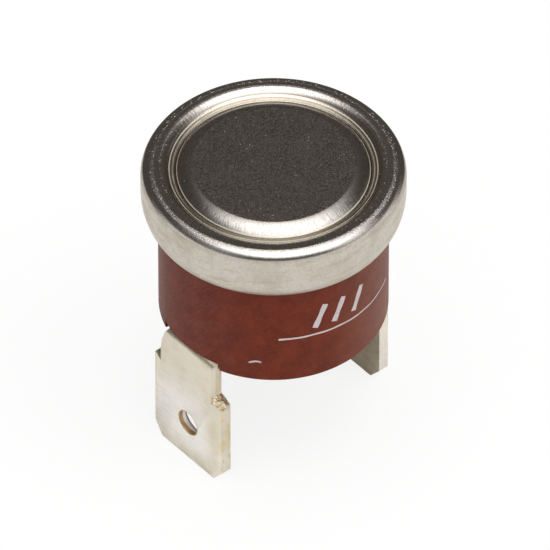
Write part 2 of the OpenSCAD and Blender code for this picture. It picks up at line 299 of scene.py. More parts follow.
def prism(name, outline, place, low, high):
    """A solid drawn from a flat outline, from low to high along the direction that place maps +Z to."""
    bm = bmesh.new()
    bottom = [bm.verts.new(place @ Vector((p[0], p[1], low))) for p in outline]
    top = [bm.verts.new(place @ Vector((p[0], p[1], high))) for p in outline]
    bm.faces.new(bottom)
    bm.faces.new(top)
    for i in range(len(outline)):
        j = (i + 1) % len(outline)
        bm.faces.new((bottom[i], bottom[j], top[j], top[i]))
    return new_object(name, bm)


def baked(obj):
    """Applies an object's modifiers to its mesh."""
    graph = bpy.context.evaluated_depsgraph_get()
    mesh = bpy.data.meshes.new_from_object(obj.evaluated_get(graph))
    obj.modifiers.clear()
    obj.data = mesh
    return obj


def combine(obj, tool, operation):
    """Joins, cuts or intersects an object with a tool that is then removed."""
    modifier = obj.modifiers.new("combine", "BOOLEAN")
    modifier.operation = operation
    modifier.solver = "EXACT"
    modifier.object = tool
    baked(obj)
    bpy.data.objects.remove(tool)
    return obj


def soften_edges(obj, width, angle=25, edge_slot=-1):
    """Rounds a solid's sharp edges. The rounded faces take a material slot of their own if one is given."""
    modifier = obj.modifiers.new("edges", "BEVEL")
    modifier.width = width * MM
    modifier.segments = 2
    modifier.limit_method = "ANGLE"
    modifier.angle_limit = radians(angle)
    modifier.material = edge_slot
    return baked(obj)


def smooth(obj, angle=30):
    """Smooth shading, with edges sharper than an angle kept sharp."""
    obj.data.shade_smooth()
    obj.data.set_sharp_from_angle(angle=radians(angle))
    return obj


FLAT = Matrix.Identity(4)
FACING_X = Matrix(((0, 0, 1, 0), (1, 0, 0, 0), (0, 1, 0, 0), (0, 0, 0, 1)))
FACING_Y = Matrix(((1, 0, 0, 0), (0, 0, 1, 0), (0, 1, 0, 0), (0, 0, 0, 1)))


# Node materials

class Nodes:
    """Short calls that add nodes to a node tree."""

    def __init__(self, tree):
        self.tree = tree

    def node(self, kind, **values):
        made = self.tree.nodes.new(kind)
        for key, value in values.items():
            setattr(made, key, value)
        return made

    def link(self, source, target):
        if hasattr(source, "is_output"):
            self.tree.links.new(source, target)
        else:
            target.default_value = source

    def math(self, operation, first, second=0.0, third=0.0):
        made = self.node("ShaderNodeMath", operation=operation)
        for value, socket in zip((first, second, third), made.inputs):
            self.link(value, socket)
        return made.outputs[0]

    def ramp(self, value, low, high, out_low=0.0, out_high=1.0):
        """A smooth step from out_low to out_high while a value goes from low to high."""
        made = self.node("ShaderNodeMapRange", interpolation_type="SMOOTHSTEP")
        self.link(value, made.inputs["Value"])
        limits = {"From Min": low, "From Max": high, "To Min": out_low, "To Max": out_high}
        for socket, number in limits.items():
            self.link(number, made.inputs[socket])
        return made.outputs["Result"]

    def band(self, value, low, high, soft):
        """1 while a value lies between low and high, with edges that are soft wide."""
        rise = self.ramp(value, low - soft / 2, low + soft / 2)
        fall = self.ramp(value, high - soft / 2, high + soft / 2, 1.0, 0.0)
        return self.math("MULTIPLY", rise, fall)

    def product(self, *masks):
        """All masks multiplied."""
        result = masks[0]
        for mask in masks[1:]:
            result = self.math("MULTIPLY", result, mask)
        return result

    def total(self, base, *parts):
        """A base value plus masks, each times its weight."""
        result = base
        for mask, weight in parts:
            result = self.math("MULTIPLY_ADD", mask, weight, result)
        return result

    def axes(self, place):
        """The three coordinates of a place or direction."""
        parts = self.node("ShaderNodeSeparateXYZ")
        self.link(place, parts.inputs[0])
        return tuple(parts.outputs)

    def along(self, place, direction):
        """How far a place lies along a direction."""
        dot = self.node("ShaderNodeVectorMath", operation="DOT_PRODUCT")
        self.link(place, dot.inputs[0])
        self.link(direction, dot.inputs[1])
        return dot.outputs["Value"]

    def toward(self, place, direction, inner, outer):
        """1 for directions within an angle of the given one, falling to 0 at a wider angle."""
        return self.ramp(self.along(place, direction), cos(radians(outer)), cos(radians(inner)))


class Shader(Nodes):
    """A material's node tree with the patterns that the finishes are made of."""

    def __init__(self, name):
        self.material = bpy.data.materials.new(name)
        self.material.use_nodes = True
        super().__init__(self.material.node_tree)
        self.bsdf = self.tree.nodes["Principled BSDF"]
        self.place = self.node("ShaderNodeTexCoord").outputs["Object"]

    def stretched(self, scale, place=None, turn=0.0):
        """A place turned about its second axis, in degrees, and then stretched."""
        made = self.node("ShaderNodeMapping", vector_type="TEXTURE")
        self.link(self.place if place is None else place, made.inputs["Vector"])
        made.inputs["Rotation"].default_value = (0.0, radians(turn), 0.0)
        made.inputs["Scale"].default_value = scale
        return made.outputs[0]

    def noise(self, size_mm, detail=3.0, rough=0.55, place=None):
        """Smooth noise from 0 to 1 whose patches are about size_mm across."""
        made = self.node("ShaderNodeTexNoise")
        self.link(self.place if place is None else place, made.inputs["Vector"])
        made.inputs["Scale"].default_value = 1 / (size_mm * MM)
        made.inputs["Detail"].default_value = detail
        made.inputs["Roughness"].default_value = rough
        return made.outputs["Fac"]

    def specks(self, spacing_mm, size_mm, share, place=None, dimensions="3D"):
        """Small round spots, 1 inside and 0 outside, in a share of the cells of a grid."""
        made = self.node("ShaderNodeTexVoronoi", voronoi_dimensions=dimensions)
        self.link(self.place if place is None else place, made.inputs["Vector"])
        made.inputs["Scale"].default_value = 1 / (spacing_mm * MM)
        radius = size_mm / 2 / spacing_mm
        spot = self.ramp(made.outputs["Distance"], radius * 0.5, radius, 1.0, 0.0)
        pick = self.node("ShaderNodeSeparateColor")
        self.link(made.outputs["Color"], pick.inputs[0])
        chosen = self.math("LESS_THAN", pick.outputs[0], share)
        return self.math("MULTIPLY", spot, chosen)

    def mix(self, factor, first, second):
        made = self.node("ShaderNodeMix", data_type="RGBA")
        self.link(factor, made.inputs["Factor"])
        for color, socket in ((first, made.inputs[6]), (second, made.inputs[7])):
            self.link(color if hasattr(color, "is_output") else (*color, 1.0), socket)
        return made.outputs[2]

    def radius_mm(self):
        """Distance from the part's axis."""
        x, y, _ = self.axes(self.place)
        squared = self.math("MULTIPLY_ADD", x, x, self.math("MULTIPLY", y, y))
        return self.math("DIVIDE", self.math("SQRT", squared), MM)

    def height_mm(self):
        return self.math("DIVIDE", self.axes(self.place)[2], MM)

    def around(self, along=1.0, across=1.0):
        """A place that runs round the part: way round, radius and height, for marks that follow the turn."""
        x, y, z = self.axes(self.place)
        made = self.node("ShaderNodeCombineXYZ")
        self.link(self.math("MULTIPLY", self.math("ARCTAN2", y, x), along * BODY_R * MM), made.inputs[0])
        self.link(self.math("MULTIPLY", self.radius_mm(), across * MM), made.inputs[1])
        self.link(self.math("MULTIPLY", z, across), made.inputs[2])
        return made.outputs[0]

    def beside(self, direction, low, high):
        """0 to 1 while the way from the axis along a direction goes from low to high, in millimetres."""
        return self.ramp(self.along(self.place, direction), low * MM, high * MM)

    def bump(self, height, depth_mm, before=None):
        made = self.node("ShaderNodeBump")
        made.inputs["Strength"].default_value = 1.0
        made.inputs["Distance"].default_value = depth_mm * MM
        self.link(height, made.inputs["Height"])
        if before is not None:
            self.link(before, made.inputs["Normal"])
        return made.outputs["Normal"]

    def finish(self, color=None, roughness=None, normal=None, **constants):
        for value, socket in ((color, "Base Color"), (roughness, "Roughness"), (normal, "Normal")):
            if value is None:
                continue
            if socket == "Base Color" and not hasattr(value, "is_output"):
                value = (*value, 1.0)
            self.link(value, self.bsdf.inputs[socket])
        for key, value in constants.items():
            self.bsdf.inputs[key.replace("_", " ").title()].default_value = value
        return self.material


def plated_steel():
    """Nickel plate on drawn steel: grainy face with painted sparkles, a striated groove with painted shade
    and painted highlight rings, a rubbed crest with painted glints and painted shade on its inner wall, and
    a satin skirt.
    """
    s = Shader("plated_steel")
    radius = s.radius_mm()

    # Where each finish, painted highlight and painted shade lies
    top = s.ramp(s.height_mm(), *TOP_FADE)
    face = s.ramp(radius, *FACE_FADE, 1.0, 0.0)
    hazy = s.ramp(radius, *HAZE_FADE, 1.0, 0.0)
    slope = s.band(radius, *SLOPE_ZONE, 0.3)
    groove = s.band(radius, *GROOVE_ZONE, 0.05)
    # Thin cream rings at the groove's inner and outer edge: painted highlights, pale, less metallic and
    # rougher so that they look lit all round
    lines = s.math("ADD", s.band(radius, *INNER_HIGHLIGHT_LINE, 0.03), s.band(radius, *OUTER_HIGHLIGHT_LINE, 0.04))
    shade = s.band(radius, *SHADE_LINE, 0.03)
    # The crest's inner wall gets a darker tint: painted shade
    crest = s.band(radius, *CREST_INNER, 0.12)
    worn = s.product(s.band(radius, *CREST_WORN, 0.12), top)
    worn = s.total(worn, (s.band(radius, *CREST_RUB, 0.06), 0.6))
    skirt = s.math("MAXIMUM", s.ramp(radius, *SKIRT_FADE), s.ramp(top, 0.0, 1.0, 1.0, 0.0))

    # Patterns
    grain = s.noise(0.058, 1.0, 0.5)
    stains = s.noise(1.6, 4.0, 0.6)
    mottle = s.noise(0.14, 3.0, 0.6)
    rubs = s.noise(0.09, 3.0, 0.7)
    striae = s.noise(0.05, 2.0, 0.6, s.around(1.0, 0.12))
    streaks = s.noise(0.4, 4.0, 0.65, s.around(0.18, 1.0))
    dents = s.specks(0.42, 0.12, 0.2)
    # Bright specks on the face are painted sparkles; the pale specks all over the cap are dust
    sparks = s.product(face, s.specks(0.42, 0.085, 0.12, dimensions="2D"),
                       s.ramp(stains, 0.35, 0.6, 0.3, 1.0))
    dust_and_painted_sparkles = s.math("MAXIMUM", s.specks(0.45, 0.09, 0.12), sparks)
    scored = s.product(s.band(radius, *CREST_SCORED, 0.2), s.ramp(striae, 0.5, 0.68, 0.0, 0.6))
    # Nicks and worn spots on the crest are real wear, painted pale and less metallic as glints
    nicks = s.product(s.band(radius, *CREST_NICKED, 0.3), s.specks(0.2, 0.07, 0.14, s.around(1.0, 0.4)))
    painted_glints = s.math("MAXIMUM", s.product(worn, s.specks(0.17, 0.12, 0.5)), nicks)
    # This ring is a painted highlight: a pale, less metallic ring in the groove on the back and sides,
    # fading out towards the camera's side
    rubbed = s.product(s.band(radius, *HIGHLIGHT_RING, 0.07), s.beside(from_camera(180, 0), -5.0, -1.5),
                       s.ramp(stains, 0.3, 0.6, 0.9, 0.5))

    # Colour
    satin = s.mix(s.ramp(stains, 0.4, 0.75), (0.615, 0.58, 0.52), (0.49, 0.453, 0.385))
    satin = s.mix(s.ramp(streaks, 0.5, 0.66, 0.0, 0.7), satin, (0.46, 0.41, 0.325))
    satin = s.mix(s.ramp(mottle, 0.48, 0.66, 0.0, 0.55), satin, (0.44, 0.41, 0.35))
    face_tint = s.mix(s.ramp(grain, 0.36, 0.64), (0.21, 0.196, 0.178), (0.49, 0.46, 0.42))
    slope_tint = s.mix(s.ramp(striae, 0.38, 0.62), (0.36, 0.348, 0.328), (0.53, 0.515, 0.49))
    # The groove's brown striated tint is kept dark: its own striations with painted shade in the recess
    groove_tint = s.mix(s.ramp(striae, 0.35, 0.65), (0.24, 0.205, 0.16), (0.38, 0.33, 0.26))
    tint = s.mix(s.ramp(grain, 0.32, 0.68), (0.48, 0.462, 0.44), (0.66, 0.637, 0.605))
    tint = s.mix(face, tint, face_tint)
    tint = s.mix(s.ramp(stains, 0.45, 0.75, 0.0, 0.5), tint, (0.45, 0.42, 0.38))
    tint = s.mix(slope, tint, slope_tint)
    # Painted shade on the crest's inner wall
    tint = s.mix(crest, tint, (0.44, 0.41, 0.375))
    tint = s.mix(scored, tint, (0.95, 0.92, 0.87))
    tint = s.mix(skirt, tint, satin)
    # Striated groove with painted shade
    tint = s.mix(groove, tint, groove_tint)
    # Painted highlight ring
    tint = s.mix(rubbed, tint, (0.7, 0.64, 0.52))
    tint = s.mix(shade, tint, (0.2, 0.17, 0.14))
    # Painted highlight rings
    tint = s.mix(lines, tint, (0.85, 0.79, 0.67))
    # Painted glints on the worn crest and its nicks
    tint = s.mix(painted_glints, tint, (0.85, 0.82, 0.76))
    # Dust and painted sparkles
    tint = s.mix(dust_and_painted_sparkles, tint, (0.82, 0.76, 0.68))

    # Shine and relief
    metal = s.total(1.0, (lines, -0.4), (groove, -0.1), (rubbed, -0.6), (painted_glints, -0.5), (dust_and_painted_sparkles, -0.5))
    rough = s.total(0.08, (grain, 0.1), (hazy, 0.14), (skirt, 0.28), (groove, 0.12), (lines, 0.3),
                    (s.product(worn, rubs), 0.15))
    normal = s.bump(grain, 0.005)
    normal = s.bump(dents, 0.008, normal)
    normal = s.bump(s.product(rubs, worn), 0.02, normal)
    normal = s.bump(s.product(striae, s.ramp(radius, *STRIAE_FADE)), 0.006, normal)
    s.link(metal, s.bsdf.inputs["Metallic"])
    return s.finish(tint, rough, normal)


def phenolic():
    """Moulded red-brown phenolic with fine mottling, pale filler specks, faint rubbed marks and a painted
    sheen on the side at the camera's right.
    """
    s = Shader("phenolic")
    cloud = s.noise(1.3, 5.0, 0.65)
    mottle = s.noise(0.22, 3.0, 0.6)
    pale = s.specks(0.5, 0.07, 0.12)
    rubs = s.noise(0.1, 2.0, 0.5, s.stretched((1.0, 1.0, 8.0)))
    scuffs = s.noise(0.09, 3.0, 0.65, s.stretched((1.0, 1.0, 9.0), s.around(), 40))
    rubbed = s.product(s.ramp(scuffs, 0.45, 0.7), s.beside(from_camera(-75, 0), 3.2, 6.0))
    # Paler, warmer colour on the side at the camera's right: painted sheen
    painted_sheen = s.product(s.ramp(cloud, 0.2, 0.6, 0.5, 1.0), s.beside(from_camera(85, 0), 3.5, 7.2))
    tint = s.mix(s.ramp(cloud, 0.35, 0.7), (0.118, 0.0155, 0.0048), (0.17, 0.0255, 0.009))
    tint = s.mix(s.ramp(mottle, 0.45, 0.7, 0.0, 0.5), tint, (0.175, 0.033, 0.014))
    tint = s.mix(s.ramp(mottle, 0.42, 0.3, 0.0, 0.5), tint, (0.075, 0.013, 0.006))
    tint = s.mix(s.product(rubbed, 0.4), tint, (0.13, 0.075, 0.055))
    # Painted sheen
    tint = s.mix(s.product(painted_sheen, 0.35), tint, (0.27, 0.125, 0.075))
    tint = s.mix(s.product(pale, 0.6), tint, (0.45, 0.24, 0.19))
    rough = s.total(0.38, (mottle, 0.16), (s.ramp(rubs, 0.6, 0.75), 0.1))
    s.bsdf.inputs["Specular IOR Level"].default_value = 0.13
    return s.finish(tint, rough, s.bump(mottle, 0.004))


def tinned_brass():
    """Tin plate over brass strip: whiter in the middle, with brown streaks, brass at the cut faces, painted
    shade on the faces turned towards the body's axis and painted light in the blade's hole.
    """
    s = Shader("tinned_brass")
    x, y, z = s.axes(s.place)
    side = s.math("SIGN", x)
    across = s.product(y, side, -1 / MM)
    height = s.math("DIVIDE", z, MM)
    depth = s.math("MULTIPLY_ADD", s.math("ABSOLUTE", x), -1 / MM, BLADE_X)
    normal_x, _, normal_z = s.axes(s.node("ShaderNodeNewGeometry").outputs["Normal"])
    blade_edge = -BLADE_W / 2 - BLADE_SHIFT
    neck_edge = -NECK_W / 2 - TERMINAL_SHIFT

    # Where each finish, the painted shade and the painted light lie
    # The hole's wall is painted near white and made less metallic: painted light for the white table seen
    # through the hole
    off_hole = s.math("ADD", across, BLADE_SHIFT)
    above_hole = s.math("SUBTRACT", height, HOLE_H)
    hole_r = s.math("SQRT", s.math("MULTIPLY_ADD", off_hole, off_hole, s.product(above_hole, above_hole)))
    hole = s.ramp(hole_r, HOLE_R + 0.02, HOLE_R + 0.1, 1.0, 0.0)
    hole_lip = s.product(hole, s.ramp(depth, 0.24, 0.36, 1.0, 0.0))
    cut_edge = s.ramp(across, blade_edge + 0.02, blade_edge + 0.1, 1.0, 0.0)
    torn = s.product(s.band(height, BLADE_LENGTH - 0.3, BLADE_LENGTH + 0.25, 0.2),
                     s.ramp(across, -2.5, -2.35, 1.0, 0.0))
    # Faces turned towards the body's axis, under the body, are painted dark olive: painted shade
    inner = s.ramp(s.product(normal_x, side), -0.7, -0.4, 1.0, 0.0)
    neck_cut = s.product(s.ramp(across, neck_edge + 0.01, neck_edge + 0.05, 1.0, 0.0),
                         s.ramp(height, BLADE_LENGTH + 0.1, BLADE_LENGTH + 0.2), s.ramp(depth, 0.26, 0.38))
    barb_top = s.product(s.ramp(normal_z, 0.4, 0.7), s.ramp(across, 2.3, 2.4),
                         s.band(height, BLADE_LENGTH - 0.4, BLADE_LENGTH + 0.4, 0.1))
    bend = s.ramp(height, TERMINAL_HIGH.z - 0.35, TERMINAL_HIGH.z - 0.15)
    middle = s.product(s.band(across, -2.0, 2.6, 1.8), s.band(height, 0.9, 6.9, 1.8))
    aged_side = s.product(s.ramp(across, -2.6, -1.0, 1.0, 0.0), s.ramp(height, 2.0, 4.0))
    aged = s.math("MAXIMUM", s.ramp(height, 4.0, 6.6), aged_side)

    # Patterns
    cloud = s.noise(1.5, 4.0, 0.6)
    lines = s.noise(0.09, 3.0, 0.6, s.stretched((1.0, 14.0, 1.0)))
    blots = s.noise(0.3, 3.0, 0.6, s.stretched((1.0, 1.0, 2.2)))
    grain = s.noise(0.06, 2.0, 0.6)
    pits = s.product(s.specks(0.26, 0.1, 0.3), s.total(0.3, (aged, 0.5)))
    smudge = s.product(s.ramp(s.noise(0.7, 5.0, 0.7), 0.5, 0.72), s.total(0.05, (aged, 0.2)))

    # Colour
    torn_tint = s.mix(s.ramp(blots, 0.5, 0.58), (0.8, 0.72, 0.54), (0.42, 0.27, 0.14))
    inner_face_shade = s.mix(s.ramp(cloud, 0.4, 0.65), (0.4, 0.35, 0.25), (0.27, 0.23, 0.155))
    tint = s.mix(s.ramp(cloud, 0.4, 0.7), (0.86, 0.83, 0.74), (0.76, 0.71, 0.58))
    tint = s.mix(s.product(middle, 0.85), tint, (0.95, 0.945, 0.93))
    tint = s.mix(s.product(aged, 0.5), tint, (0.66, 0.61, 0.48))
    tint = s.mix(s.ramp(lines, 0.48, 0.74, 0.0, 0.5), tint, (0.66, 0.58, 0.43))
    tint = s.mix(smudge, tint, (0.5, 0.42, 0.28))
    tint = s.mix(pits, tint, (0.42, 0.34, 0.22))
    tint = s.mix(s.product(cut_edge, s.ramp(blots, 0.5, 0.65)), tint, (0.76, 0.62, 0.3))
    tint = s.mix(s.product(bend, s.ramp(grain, 0.3, 0.6)), tint, (0.42, 0.39, 0.29))
    tint = s.mix(s.product(neck_cut, 0.8), tint, (0.64, 0.58, 0.45))
    tint = s.mix(barb_top, tint, (0.36, 0.32, 0.24))
    tint = s.mix(torn, tint, torn_tint)
    # Painted shade on the inner faces
    tint = s.mix(s.product(inner, 0.85), tint, inner_face_shade)
    # Painted light in the hole's wall
    tint = s.mix(hole, tint, (0.97, 0.95, 0.91))
    tint = s.mix(hole_lip, tint, (0.6, 0.46, 0.27))

    # Shine and relief
    # Less metallic in the hole's wall, so that its painted light stays bright
    metal = s.total(1.0, (s.math("SUBTRACT", hole, hole_lip), -0.6))
    rough = s.total(0.34, (grain, 0.14))
    normal = s.bump(s.total(grain, (lines, 0.6)), 0.004)
    normal = s.bump(s.product(s.noise(0.18, 2.0, 0.6), torn), 0.12, normal)
    s.link(metal, s.bsdf.inputs["Metallic"])
    return s.finish(tint, rough, normal)


def bare_edge():
    """Edges of the terminals where the tin has rubbed off the brass."""
    s = Shader("bare_edge")
    rubs = s.noise(0.25, 3.0, 0.6)
    tint = s.mix(s.ramp(rubs, 0.35, 0.65), (0.68, 0.62, 0.5), (0.42, 0.33, 0.2))
    return s.finish(tint, s.total(0.3, (rubs, 0.2)), s.bump(rubs, 0.004), metallic=1.0)


def inner_metal(name, color, rough_low):
    """Plain strip metal for the pieces inside, with rolling lines and faint tarnish."""
    s = Shader(name)
    lines = s.noise(0.08, 3.0, 0.6, s.stretched((12.0, 1.0, 1.0)))
    tarnish = s.noise(0.9, 4.0, 0.6)
    dark = tuple(0.6 * c for c in color)
    tint = s.mix(s.ramp(tarnish, 0.45, 0.8, 0.0, 0.6), color, dark)
    return s.finish(tint, s.total(rough_low, (lines, 0.2)), s.bump(lines, 0.003), metallic=1.0)


def fired_ceramic(name, color):
    """Unglazed ceramic with a fine grain."""
    s = Shader(name)
    grain = s.noise(0.08, 3.0, 0.6)
    dark = tuple(0.82 * c for c in color)
    tint = s.mix(s.ramp(grain, 0.4, 0.7), color, dark)
    return s.finish(tint, s.total(0.6, (grain, 0.2)), s.bump(grain, 0.004))


def white_ink():
    """Thin hand-drawn ink that lets a little of the body's colour through."""
    s = Shader("white_ink")
    grain = s.noise(0.08, 3.0, 0.6)
    tint = s.mix(s.ramp(grain, 0.45, 0.8, 0.0, 0.6), (0.62, 0.56, 0.58), (0.4, 0.24, 0.22))
    return s.finish(tint, 0.6, s.bump(grain, 0.004))


def floor_white():
    """White table for the camera, lit a little from below, so that shadows on it stay faint."""
    s = Shader("floor_white")
    soft = s.noise(40.0, 2.0, 0.5)
    tint = s.mix(soft, (0.15, 0.153, 0.157), (0.165, 0.168, 0.172))
    return s.finish(tint, 0.9, emission_color=(1.0, 1.0, 1.0, 1.0), emission_strength=0.845)


def card_white():
    """White table as the part sees it."""
    s = Shader("card_white")
    soft = s.noise(40.0, 2.0, 0.5)
    tint = s.mix(soft, (0.9, 0.9, 0.9), (0.92, 0.92, 0.92))
    return s.finish(tint, 0.9, emission_color=(1.0, 1.0, 1.0, 1.0), emission_strength=0.14)


# The dressed pieces

def dress(piece, node, body, material):
    """Puts a new piece in the place of a solid, with its finish and the body that it moves with."""
    if not piece.data.materials:
        piece.data.materials.append(material)
    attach(piece, body)
    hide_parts(node)
    return piece


def make_cap():
    """The cap's sheet: sensing face, rounded slope, pressed groove, rolled crest, skirt and rolled edge."""
    groove_z = FACE_TOP - GROOVE_DEPTH
    slope_w = GROOVE_R - FACE_R
    slope_start = radians(FACE_SLOPE_START)
    slope_end = 2 * atan2(GROOVE_DEPTH, slope_w) - slope_start
    slope_side = slope_w / (cos(slope_start) + cos(slope_end))
    slope_r = slope_side / tan((slope_end - slope_start) / 2)
    crest_r = CAP_R - CREST_SHOULDER - CREST_FLAT
    crest_climb = asin((crest_r - GROOVE_OUTER_R) / CREST_ROUND)
    crest_z = groove_z + GROOVE_RISE - CREST_ROUND * cos(crest_climb)
    shoulder_z = crest_z + CREST_ROUND - CREST_SHOULDER
    outside = rounded([
        (0, FACE_TOP, 0),
        (FACE_R, FACE_TOP, FACE_EDGE_R),
        (FACE_R + slope_side * cos(slope_start), FACE_TOP - slope_side * sin(slope_start),
         SLOPE_ROUND_SHARE * slope_r),
        (GROOVE_R, groove_z, GROOVE_CORNER_R),
        (GROOVE_OUTER_R, groove_z + GROOVE_RISE, 0)], 12)[:-1]
    outside += arc((crest_r, crest_z), CREST_ROUND, 90 + degrees(crest_climb), 90, 20)
    outside += arc((CAP_R - CREST_SHOULDER, shoulder_z), CREST_SHOULDER, 90, 0, 24)
    outside += oval((CAP_R - CURL_W, CURL_Z), CURL_W, CURL_H, 0, -CURL_ANGLE, 32)
    inside = offset_right(outside, CAP_SHEET)
    inside[0].x = 0
    cap = revolved("cap_shell", outside + inside[::-1])
    return smooth(cap, 50)


def make_body():
    """The moulded body: rim, side, flange and chamber, with the terminals' slots and rivet holes cut in."""
    profile = [Vector((0, BODY_BOTTOM))]
    profile += arc((BODY_R - RIM_R, BODY_BOTTOM + RIM_R), RIM_R, -90, 0, 6)
    flange_w = CURL_W - CAP_SHEET - SEAM_CLEARANCE
    flange_h = CURL_H - CAP_SHEET - SEAM_CLEARANCE
    flange_angle = degrees(asin((BODY_TOP - CURL_Z) / flange_h))
    profile += [Vector((BODY_R, CURL_Z - flange_h))]
    profile += oval((CAP_R - CURL_W, CURL_Z), flange_w, flange_h, -90, flange_angle)
    profile += [Vector(p) for p in ((CHAMBER_R, BODY_TOP), (CHAMBER_R, FLOOR_TOP), (0, FLOOR_TOP))]
    body = revolved("body_moulding", profile)
    for turn in (0, pi):
        half_turn = Matrix.Rotation(turn, 4, "Z")
        slot = prism("slot", foot_outline(SLOT_CLEARANCE), half_turn, BODY_BOTTOM - OVERRUN, SLOT_TOP)
        combine(body, slot, "DIFFERENCE")
        outline = circle(RIVET_X, RIVET_HOLE_R, BODY_BORE_STEPS)
        hole = prism("hole", outline, half_turn, BODY_BOTTOM - OVERRUN, FLOOR_TOP + OVERRUN)
        combine(body, hole, "DIFFERENCE")
    return smooth(body, 30)


def foot_outline(room):
    """A terminal's foot and neck seen from above on the -X side, with room added on every side."""
    half = NECK_W / 2 + room
    inner = FOOT_END_X + room
    outer = -BLADE_X - OVERRUN
    return [(outer, -half - TERMINAL_SHIFT), (inner - FOOT_CUT, -half - TERMINAL_SHIFT),
            (inner, -half + FOOT_CUT - TERMINAL_SHIFT), (inner, half - FOOT_CUT - TERMINAL_SHIFT),
            (inner - FOOT_CUT, half - TERMINAL_SHIFT), (outer, half - TERMINAL_SHIFT)]


def make_blade(name, outer):
    """A bevelled blade with its cut tip, barb and sloping shoulder. Its outer face is at -outer."""
    half = BLADE_W / 2
    neck = NECK_W / 2
    blade_y = -BLADE_SHIFT
    neck_y = -TERMINAL_SHIFT
    outline = rounded([
        (blade_y - half + TIP_CUT_W, 0, TIP_ROUND),
        (blade_y + half - TIP_CUT_W, 0, TIP_ROUND),
        (blade_y + half, TIP_CUT_H, SIDE_ROUND),
        (blade_y + half, BLADE_LENGTH + BARB_H / 2, BARB_ROUND),
        (neck_y + neck, BLADE_LENGTH - BARB_H / 2, 0),
        (neck_y - neck, BLADE_LENGTH + SHOULDER_FALL / 2, 0),
        (blade_y - half, BLADE_LENGTH - SHOULDER_FALL / 2, SHOULDER_ROUND),
        (blade_y - half, TIP_CUT_H, SIDE_ROUND)], 4)
    blade = prism(name, outline, FACING_X, -outer, -outer + BLADE_T)
    half_t = BLADE_T / 2
    edge_t = half_t - BEVEL_DEPTH
    flat = half - BEVEL_W
    section = [(-outer + half_t + x, blade_y + y) for x, y in (
        (-half_t, flat), (-edge_t, half), (edge_t, half), (half_t, flat),
        (half_t, -flat), (edge_t, -half), (-edge_t, -half), (-half_t, -flat))]
    return combine(blade, prism("section", section, FLAT, -OVERRUN, BLADE_LENGTH + OVERRUN), "INTERSECT")


def make_foot(outer):
    """A terminal's neck, bend and foot. The neck's edge on the barb's side curves in towards the body."""
    inner_x = -outer + BLADE_T
    foot_bottom = SLOT_TOP - BLADE_T
    strip_end = BLADE_LENGTH - NECK_OVERLAP
    strip = [Vector((-outer, strip_end))]
    strip += arc((-outer + BEND_R, SLOT_TOP - BEND_R), BEND_R, 180, 90)
    strip += [Vector((FOOT_END_X, SLOT_TOP)), Vector((FOOT_END_X, foot_bottom))]
    strip += arc((inner_x + BEND_INNER_R, foot_bottom - BEND_INNER_R), BEND_INNER_R, 90, 180)
    strip += [Vector((inner_x, strip_end))]
    left = NECK_W / 2 - TERMINAL_SHIFT
    right = -NECK_W / 2 - TERMINAL_SHIFT
    foot = prism("foot", strip, FACING_Y, right, left)
    combine(foot, prism("plan", foot_outline(0), FLAT, 0, SLOT_TOP + OVERRUN), "INTERSECT")
    curve_z = BLADE_LENGTH + NECK_CURVE_START
    curve = arc((left - NECK_CURVE_R, curve_z), NECK_CURVE_R, 0, NECK_CURVE_ANGLE)
    curve += [Vector((left + OVERRUN, z)) for z in (curve[-1].y, curve_z)]
    cutter = prism("curve", curve, FACING_X, -outer - OVERRUN, inner_x + BEND_INNER_R)
    return combine(foot, cutter, "DIFFERENCE")


def blade_hole(outer):
    """A cutter for a blade's hole, wider on the inner face."""
    edge = BLADE_T - HOLE_BREAK
    flare = 2 * HOLE_BREAK
    profile = [(0, -OVERRUN), (HOLE_R, -OVERRUN), (HOLE_R, edge)]
    profile += [(HOLE_R + flare, edge + flare), (0, edge + flare)]
    cutter = revolved("hole", profile, COARSE_STEPS)
    place = Matrix.Translation(Vector((-outer, -BLADE_SHIFT, HOLE_H)) * MM)
    cutter.data.transform(place @ Matrix.Rotation(pi / 2, 4, "Y"))
    return cutter


def rivet_hole():
    """A cutter for the rivet's hole through a foot."""
    outline = circle(RIVET_X, RIVET_HOLE_R, FOOT_BORE_STEPS)
    return prism("hole", outline, FLAT, SLOT_TOP - BLADE_T - OVERRUN, SLOT_TOP + OVERRUN)


def make_terminal(name, outer, turn):
    """One terminal: blade, neck and foot in one strip, with its two holes and rubbed edges."""
    terminal = make_blade(name, outer)
    combine(terminal, make_foot(outer), "UNION")
    combine(terminal, blade_hole(outer), "DIFFERENCE")
    combine(terminal, rivet_hole(), "DIFFERENCE")
    for finish in (TIN, BARE_EDGE):
        terminal.data.materials.append(finish)
    soften_edges(terminal, EDGE_ROUND, edge_slot=1)
    terminal.data.transform(Matrix.Rotation(turn, 4, "Z"))
    return smooth(terminal, 40)


def on_side(angle, height, out):
    """A point of the body's side. Angle 0 faces the camera, and positive angles turn to its right."""
    return from_camera(angle, 0) * (BODY_R + out) + Vector((0, 0, height))


